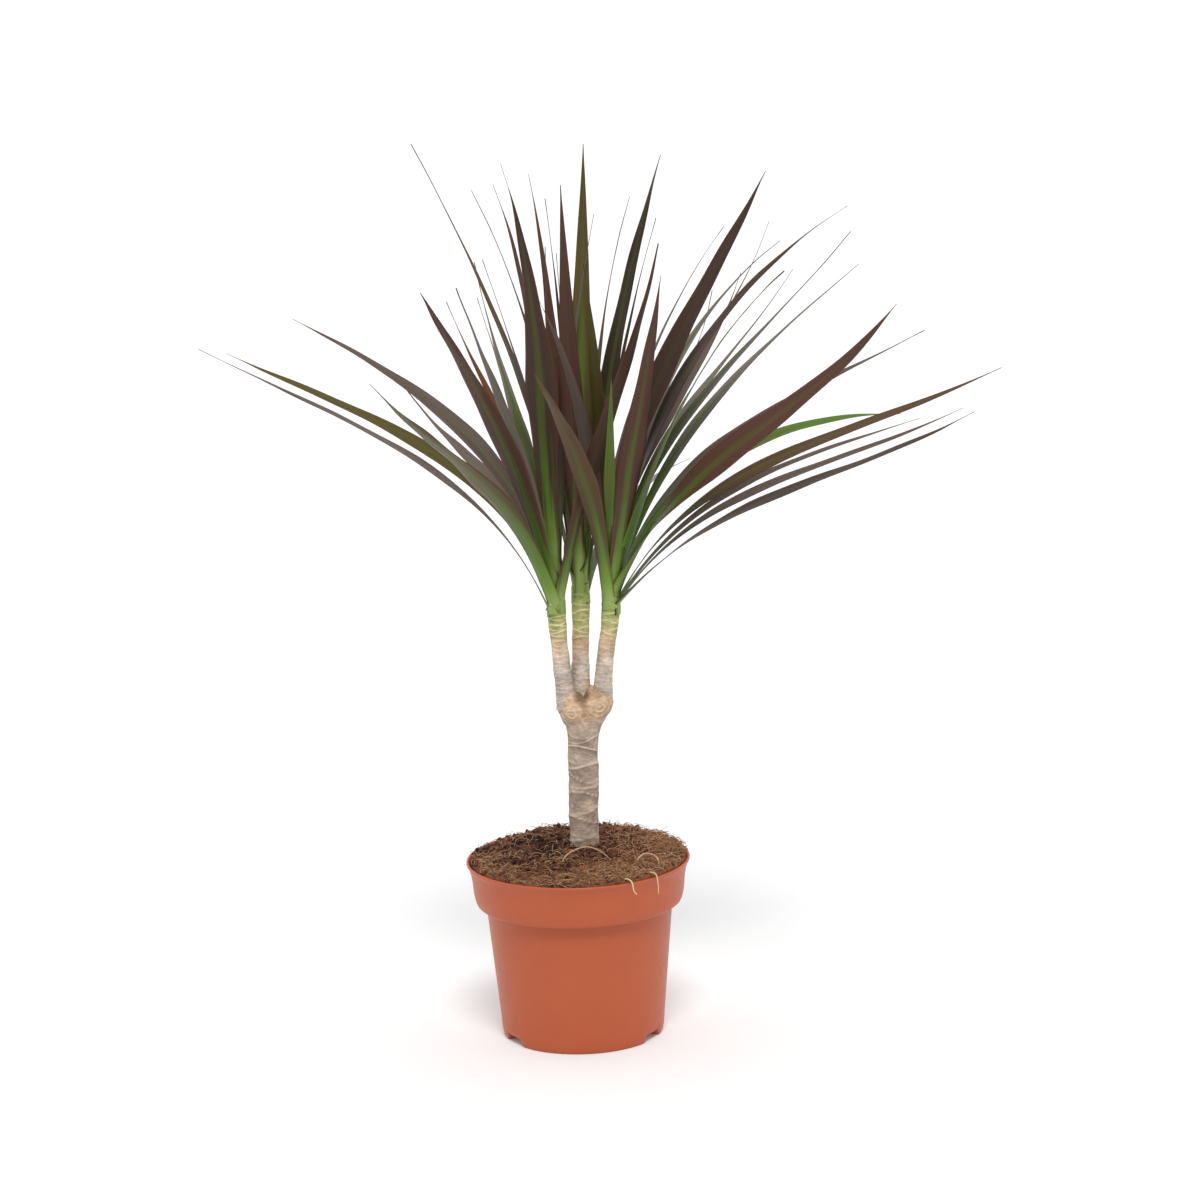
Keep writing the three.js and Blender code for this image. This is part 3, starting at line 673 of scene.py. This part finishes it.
LEAF_ROWS = 72
LEAF_HALF = 6  # stations from the midrib to an edge
LEAF_THICK = 0.5  # mm at the midrib
LEAF_EDGE = 0.22  # mm near the edges
HEEL_DROP = 20.0  # mm at most that a leaf's foot reaches down round the stem
HEEL_LEAST = 6.0  # mm at least
HEEL_CLASPS = (8, 15)  # mm of heel: a shorter one doesn't clasp, a longer one clasps fully
CLASP_LENGTH = 12  # mm of blade over which the clasp opens out
CLASP_WIDE = 9  # mm: a narrower leaf clasps less of the stem
LEAF_LEAST = 0.42  # mm, the width of a whip's tip
HEEL_RADIUS = 5.0  # mm from the stem's axis to the lower end of a foot
HEEL_WRAP = math.radians(105)  # how far round the stem a foot reaches to either side
RINGS_IN_LEAF = 13
CORNERS_IN_RING = 6
# Length along the blade, and width as a part of the greatest width before the taper
BLADE_AT = (0.0, 0.05, 0.12, 0.22, 0.34, 0.42, 1.0)
BLADE_WIDTH = (0.66, 0.54, 0.52, 0.68, 0.90, 1.0, 1.0)
TAPER_FROM = 0.42

SHADES = {
    "maroon": "#54392f", "dark": "#45332a", "black": "#342b1a", "red": "#663b29",
    "brown": "#54422f", "olive": "#504722", "mauve": "#5f5049", "grey": "#6d665e",
    "pale": "#928b86", "green": "#4f6c25",
}
# Each leaf: its shade, how far up the green reaches, how strong the green middle stripe is,
# how much wider than its CAD solid the blade is, how far it rolls about its midrib in
# degrees, and the power of its taper: under 1 is full, over 1 is drawn out like a whip
LOOKS = {
    "left": (
        ("mauve", .14, .1, 1.0, -18, 1.1), ("olive", .16, .2, 1.0, -38, 0.9),
        ("mauve", .16, .5, 1.1, -45, 1.2), ("olive", .34, .6, 1.4, 0, 1.0),
        ("mauve", .18, .2, 1.1, 0, 1.4), ("maroon", .20, .8, 1.15, 0, 0.85),
        ("red", .22, .2, 0.9, 0, 1.5), ("grey", .40, .3, 1.2, 0, 1.3),
        ("grey", .55, .6, 1.0, 0, 2.0), ("pale", .22, .1, 1.0, 0, 1.6),
        ("grey", .36, .4, 1.0, 0, 1.6), ("maroon", .07, .1, 1.2, 0, 1.2),
        ("dark", .16, .7, 1.45, 0, 1.6), ("maroon", .10, .3, 1.1, 0, 1.0),
        ("maroon", .14, .1, 1.0, 0, 1.4), ("green", .40, .5, 1.0, 0, 1.0),
        ("mauve", .14, .1, 1.0, 0, 2.0)),
    "middle": (
        ("olive", .42, 1.0, 1.35, 0, 0.9), ("maroon", .20, .3, 1.0, 0, 1.4),
        ("maroon", .08, .1, 1.35, 0, 1.0), ("brown", .14, .2, 0.9, 0, 1.6),
        ("mauve", .14, .1, 0.9, 0, 2.2), ("mauve", .14, .1, 0.9, 0, 2.2),
        ("dark", .14, .1, 1.0, 0, 1.8), ("grey", .22, .2, 0.9, 0, 2.2),
        ("mauve", .14, .1, 0.9, 0, 2.4), ("black", .14, .6, 1.5, 0, 0.85),
        ("brown", .22, .2, 1.0, 0, 1.6), ("grey", .14, .1, 1.0, 0, 1.8),
        ("pale", .10, .1, 1.1, 0, 1.2)),
    "right": (
        ("olive", .16, .3, 1.3, 0, 1.0), ("maroon", .22, .9, 1.3, 0, 1.0),
        ("dark", .14, .1, 1.35, 45, 0.85), ("grey", .43, .5, 0.9, 10, 1.8),
        ("mauve", .14, .1, 1.0, 20, 2.0), ("mauve", .22, .2, 1.2, 15, 1.3),
        ("grey", .22, .2, 1.0, 15, 2.0), ("dark", .22, .2, 1.3, 30, 1.3),
        ("green", .70, .8, 1.3, 20, 1.2), ("grey", .30, .3, 1.0, 15, 2.0),
        ("grey", .43, .4, 1.1, 15, 2.0), ("grey", .38, .3, 1.0, 15, 1.8),
        ("maroon", .22, .5, 1.3, 40, 0.9), ("mauve", .22, .3, 1.0, 25, 1.1),
        ("green", .55, .6, 1.1, 30, 0.9), ("brown", .12, .3, 0.85, 34, 0.8),
        ("mauve", .10, .2, 0.7, 30, 0.8), ("mauve", .08, .1, 0.75, 24, 0.8),
        ("dark", .06, .1, 1.0, 28, 0.8), ("mauve", .10, .1, 1.1, 0, 1.2),
        ("brown", .22, .5, 1.2, 0, 1.0), ("green", .60, .8, 0.8, 0, 0.9)),
}


def leaf_frame(node, crown):
    """Middle line, across directions, greatest width, distance from the stem's axis and
    number of heel points of a leaf, read from its CAD solid: its corners sorted by distance
    from the foot make rings of six, and each ring's corners sorted sideways make its two
    edges and its middle. Heel points run down the stem's skin, ahead of the middle line."""
    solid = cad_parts[node].data
    points = np.empty(len(solid.vertices) * 3)
    solid.vertices.foreach_get("co", points)
    points = np.unique(np.round(points.reshape(-1, 3) / MM, 2), axis=0)
    foot = points[np.argmin(points[:, 2])]
    rings = points[np.argsort(np.linalg.norm(points - foot, axis=1))]
    rings = rings.reshape(RINGS_IN_LEAF, CORNERS_IN_RING, 3)
    outward = rings[-1].mean(axis=0) - rings[0].mean(axis=0)
    level = np.cross((0, 0, 1), outward)
    order = np.argsort(rings @ level, axis=1)
    rings = np.take_along_axis(rings, order[..., None], axis=1)
    near, centre, far = (rings[:, i:i + 2].mean(axis=1) for i in (0, 2, 4))
    across = far - near
    width = np.linalg.norm(across, axis=1)
    across /= width[:, None]
    out = centre[0, :2] - crown[:2]
    radius = np.linalg.norm(out)
    drop = np.clip(centre[0, 2] - crown[2] + 1, HEEL_LEAST, HEEL_DROP)
    heel = [
        np.array([*(crown[:2] + out / radius * (radius + (HEEL_RADIUS - radius) * part)),
                  centre[0, 2] - drop * part])
        for part in (1, 0.66, 0.33)
    ]
    across = np.concatenate([across[:1]] * len(heel) + [across])
    return np.concatenate([heel, centre]), across, width.max(), radius, len(heel)


def leaf_rings(centre, across, wide, radius, heel, roll, taper, seed):
    """Rings of a blade. The section is an arc whose radius grows from that of the stem to a
    shallow channel: a station x out from the midrib lies radius * sin(x / radius) across
    and radius * (1 - cos(x / radius)) up. The edges ripple a little."""
    ease = np.linspace(0, 1, LEAF_ROWS)
    ease = ease + 0.05 * np.sin(ease * math.pi * 2) / 2
    path = through(centre, LEAF_ROWS, ease)
    cross = through(across, LEAF_ROWS, ease)
    along = np.gradient(path, axis=0)
    along /= np.linalg.norm(along, axis=1, keepdims=True)
    cross -= along * np.sum(cross * along, axis=1, keepdims=True)
    cross /= np.linalg.norm(cross, axis=1, keepdims=True)
    run = np.concatenate([[0], np.cumsum(np.linalg.norm(np.diff(path, axis=0), axis=1))])
    run -= np.interp(heel / (len(centre) - 1), ease, run)
    part = np.clip(run / run[-1], 0, 1)
    up = np.cross(along, cross)
    turn = (math.radians(roll) * smooth(0.02, 0.4, part))[:, None]
    cross, up = (cross * np.cos(turn) + up * np.sin(turn),
                 up * np.cos(turn) - cross * np.sin(turn))
    left = np.clip((part - TAPER_FROM) / (1 - TAPER_FROM), 0, 1)
    width = wide * np.interp(part, BLADE_AT, BLADE_WIDTH) * (1 - left) ** taper
    width = np.convolve(np.pad(width, 2, mode="edge"), np.ones(5) / 5, mode="valid")
    width = np.maximum(width, LEAF_LEAST)
    clasp = 2 * radius * HEEL_WRAP * min(1, wide / CLASP_WIDE)
    clasping = (1 - smooth(0, CLASP_LENGTH, run)) ** 2 * smooth(*HEEL_CLASPS, -run[0])
    width += (clasp - width) * clasping
    bend = radius + 0.9 * wide * smooth(2, 40, run) + 1.6 * wide * part
    side = np.linspace(-1, 1, 2 * LEAF_HALF + 1)
    ring_side = np.concatenate([side, side[::-1]])
    face = np.repeat([1.0, -1.0], len(side))
    half = width[:, None] / 2
    out = ring_side * half
    bow = out / bend[:, None]
    made = np.random.default_rng(seed)
    phase = made.uniform(0, TURN, 2)
    both_edges = np.sin(part * 31 + phase[1])[:, None] * ring_side ** 2
    opposite = np.sin(part * 19 + phase[0])[:, None] * ring_side * np.abs(ring_side)
    ripple = wide * (0.02 * opposite + 0.015 * both_edges)
    ripple *= smooth(0.15, 0.4, part)[:, None]
    thick = (LEAF_EDGE + (LEAF_THICK - LEAF_EDGE) * (1 - np.abs(ring_side) ** 1.5)) / 2
    thick = thick * np.where(np.abs(ring_side) == 1, 0.35, 1)
    thick = thick * (1 - 0.6 * smooth(0.8, 1, part))[:, None]
    rise = bend[:, None] * (1 - np.cos(bow)) + ripple - face * thick
    sway = bend[:, None] * np.sin(bow)
    rings = path[:, None] + cross[:, None] * sway[..., None] + up[:, None] * rise[..., None]
    fields = {
        "along": np.broadcast_to(part[:, None], rings.shape[:2]),
        "across": np.broadcast_to(ring_side, rings.shape[:2]),
        "side_mm": out,
        "run_mm": np.broadcast_to(run[:, None], rings.shape[:2]),
    }
    return rings, fields


leaf_finish, tree, shader = material("dracaena leaf, waxy and veined")
along, across, side_mm, run_mm, chance, reach, stripe = (
    add(tree, "ShaderNodeAttribute", attribute_name=name).outputs["Fac"]
    for name in ("along", "across", "side_mm", "run_mm", "chance", "reach", "stripe"))
shade_colour = add(tree, "ShaderNodeAttribute", attribute_name="shade").outputs["Color"]
edge = add(tree, "ShaderNodeMath", {0: across}, operation="ABSOLUTE").outputs[0]
grain_at = add(tree, "ShaderNodeCombineXYZ", {"X": side_mm, "Y": run_mm, "Z": chance})
# Veins are 0.5 mm apart and run the leaf's length; streaks are broader and fainter
vein_at = add(tree, "ShaderNodeMapping", {
    "Vector": grain_at.outputs["Vector"], "Scale": (1 / 0.55, 1 / 60, 7)})
vein = add(tree, "ShaderNodeTexNoise", {
    "Vector": vein_at.outputs["Vector"], "Scale": 1.0, "Detail": 2}).outputs["Fac"]
streak_at = add(tree, "ShaderNodeMapping", {
    "Vector": grain_at.outputs["Vector"], "Scale": (1 / 1.5, 1 / 50, 9)})
streak = add(tree, "ShaderNodeTexNoise", {
    "Vector": streak_at.outputs["Vector"], "Scale": 1.0, "Detail": 3}).outputs["Fac"]
green_ramp = add(tree, "ShaderNodeValToRGB", {"Fac": along})
greens = ((0.0, "#8da257"), (0.05, "#708d3a"), (0.13, "#5c7a30"), (0.3, "#4f6425"),
          (0.6, "#546124"), (1.0, "#545128"))
for _ in range(len(greens) - 2):
    green_ramp.color_ramp.elements.new(0.5)
for element, (at, colour) in zip(green_ramp.color_ramp.elements, greens):
    element.position = at
    element.color = linear(colour)
# The blade turns from green to its dark shade past its reach, sooner along the edges, in
# streaks; a green stripe stays along the midrib and fades towards the tip
past = add(tree, "ShaderNodeMath", {0: along, 1: reach}, operation="SUBTRACT")
past = add(tree, "ShaderNodeMath", {0: past.outputs[0], 1: 1 / 0.3, 2: edge},
           operation="MULTIPLY_ADD")
past = add(tree, "ShaderNodeMath", {0: streak, 1: 2.4, 2: past.outputs[0]},
           operation="MULTIPLY_ADD")
dark_part = add(tree, "ShaderNodeMapRange", {
    "Value": past.outputs[0], "From Min": 1.0, "From Max": 2.05},
    interpolation_type="SMOOTHSTEP")
stripe_at = add(tree, "ShaderNodeMath", {0: streak, 1: 0.5, 2: edge}, operation="MULTIPLY_ADD")
stripe_part = add(tree, "ShaderNodeMapRange", {
    "Value": stripe_at.outputs[0], "From Min": 0.33, "From Max": 0.63, "To Min": 1, "To Max": 0},
    interpolation_type="SMOOTHSTEP")
stripe_part = add(tree, "ShaderNodeMath", {0: stripe_part.outputs["Result"], 1: stripe},
                  operation="MULTIPLY")
stripe_fade = add(tree, "ShaderNodeMapRange", {
    "Value": along, "From Min": 0.3, "From Max": 1, "To Min": 0.85, "To Max": 0.1},
    interpolation_type="SMOOTHSTEP")
stripe_part = add(tree, "ShaderNodeMath", {
    0: stripe_part.outputs[0], 1: stripe_fade.outputs["Result"]}, operation="MULTIPLY")
bare = add(tree, "ShaderNodeMath", {0: 1.0, 1: stripe_part.outputs[0]}, operation="SUBTRACT")
dark_part = add(tree, "ShaderNodeMath", {
    0: dark_part.outputs["Result"], 1: bare.outputs[0]}, operation="MULTIPLY")
colour = add(tree, "ShaderNodeMix", {
    0: dark_part.outputs[0], 6: green_ramp.outputs["Color"], 7: shade_colour},
    data_type="RGBA")
# Thin reddish margins, a pale rim round the foot and a dry brown tip
margin = add(tree, "ShaderNodeMapRange", {
    "Value": edge, "From Min": 0.86, "From Max": 0.98}, interpolation_type="SMOOTHSTEP")
margin_from = add(tree, "ShaderNodeMapRange", {
    "Value": along, "From Min": 0.06, "From Max": 0.2, "To Max": 0.45},
    interpolation_type="SMOOTHSTEP")
margin = add(tree, "ShaderNodeMath", {
    0: margin.outputs["Result"], 1: margin_from.outputs["Result"]}, operation="MULTIPLY")
colour = add(tree, "ShaderNodeMix", {
    0: margin.outputs[0], 6: colour.outputs[2], 7: linear("#6a3a28")}, data_type="RGBA")
rim = add(tree, "ShaderNodeMapRange", {
    "Value": run_mm, "From Min": -19.5, "From Max": -18.5, "To Min": 0.7, "To Max": 0})
colour = add(tree, "ShaderNodeMix", {
    0: rim.outputs["Result"], 6: colour.outputs[2], 7: linear("#c4bd80")}, data_type="RGBA")
tip = add(tree, "ShaderNodeMapRange", {
    "Value": along, "From Min": 0.955, "From Max": 0.99}, interpolation_type="SMOOTHSTEP")
colour = add(tree, "ShaderNodeMix", {
    0: tip.outputs["Result"], 6: colour.outputs[2], 7: linear("#362a24")}, data_type="RGBA")
light = add(tree, "ShaderNodeMath", {0: chance, 1: 0.22, 2: 0.47}, operation="MULTIPLY_ADD")
light = add(tree, "ShaderNodeMath", {0: streak, 1: 0.35, 2: light.outputs[0]},
            operation="MULTIPLY_ADD")
light = add(tree, "ShaderNodeMath", {0: vein, 1: 0.5, 2: light.outputs[0]},
            operation="MULTIPLY_ADD")
colour = add(tree, "ShaderNodeVectorMath", {
    0: colour.outputs[2], "Scale": light.outputs[0]}, operation="SCALE")
tree.links.new(colour.outputs["Vector"], shader.inputs["Base Color"])
sheen = add(tree, "ShaderNodeMapRange", {
    "Value": streak, "From Min": 0.3, "From Max": 0.7, "To Min": 0.34, "To Max": 0.46})
tree.links.new(sheen.outputs["Result"], shader.inputs["Roughness"])
dent = add(tree, "ShaderNodeBump", {"Height": vein, "Strength": 0.35, "Distance": 0.0003})
tree.links.new(dent.outputs["Normal"], shader.inputs["Normal"])
shader.inputs["IOR"].default_value = 1.45
shader.inputs["Specular IOR Level"].default_value = 0.18

for shoot, looks in LOOKS.items():
    for number, (shade, reach, stripe, widen, roll, taper) in enumerate(looks, start=1):
        node = f"leaf_{shoot}_{number:02d}"
        centre, across_line, wide, radius, heel = leaf_frame(node, CROWNS[shoot])
        seed = 100 * SHOOT_NAMES.index(shoot) + number
        rings, fields = leaf_rings(
            centre, across_line, wide * widen, radius, heel, roll, taper, seed)
        leaf = skin(f"blade_{shoot}_{number:02d}", rings, **fields, chance=seed * 0.37 % 1,
                    reach=reach, stripe=stripe, shade=np.array(linear(SHADES[shade])))
        dress(leaf, leaf_finish, "leaf", node)

# ---------------------------------------------------------------------------------------
# Floor: a seamless white studio floor with soft boxes over it. Not part of the plant.

FLOOR_HALF = 60.0
floor_mesh = bpy.data.meshes.new("floor")
floor_mesh.from_pydata(
    [(x * FLOOR_HALF, y * FLOOR_HALF, 0) for x, y in ((-1, -1), (1, -1), (1, 1), (-1, 1))],
    [], [(0, 1, 2, 3)])
floor = bpy.data.objects.new("floor", floor_mesh)
bpy.context.collection.objects.link(floor)
floor_finish, tree, shader = material("white paper, lit from below")
shader.inputs["Base Color"].default_value = (0.78, 0.78, 0.78, 1)
shader.inputs["Emission Color"].default_value = (1, 1, 1, 1)
shader.inputs["Emission Strength"].default_value = 0.08
shader.inputs["Roughness"].default_value = 0.9
shader.inputs["Specular IOR Level"].default_value = 0.0
floor_mesh.materials.append(floor_finish)

# The room is white behind and beside the plant, and darker in front of it
world = bpy.data.worlds.new("studio")
world.use_nodes = True
tree = world.node_tree
direction = add(tree, "ShaderNodeTexCoord").outputs["Generated"]
front_back = add(tree, "ShaderNodeSeparateXYZ", {0: direction}).outputs["Y"]
bright = add(tree, "ShaderNodeMapRange", {
    "Value": front_back, "From Min": -1, "From Max": 0.1, "To Min": 0.15, "To Max": 1.0})
tree.links.new(bright.outputs["Result"], tree.nodes["Background"].inputs["Strength"])
tree.nodes["Background"].inputs["Color"].default_value = linear("#fdfdfd")
bpy.context.scene.world = world

sun = bpy.data.lights.new("overhead_softbox", "SUN")
sun.angle = math.radians(20)
sun.energy = 2.0
sun_object = bpy.data.objects.new("overhead_softbox", sun)
sun_object.rotation_euler = (math.radians(34), math.radians(3), 0)
bpy.context.collection.objects.link(sun_object)

CAMERA_AT = (POT_AXIS[0] * MM + 0.0164, POT_AXIS[1] * MM - 2.0, 0.662)
CAMERA_DOWN = 11.9
CAMERA_ROLL = -1.82
camera = bpy.data.cameras.new("camera")
camera.lens = 114.3
camera.sensor_width = 36
camera_object = bpy.data.objects.new("camera", camera)
camera_object.location = CAMERA_AT
turn = Euler((math.radians(90 - CAMERA_DOWN), 0, 0)).to_matrix()
turn = turn @ Euler((0, 0, math.radians(CAMERA_ROLL))).to_matrix()
camera_object.rotation_euler = turn.to_euler()
bpy.context.collection.objects.link(camera_object)
bpy.context.scene.camera = camera_object
bpy.context.scene.view_settings.view_transform = "Standard"
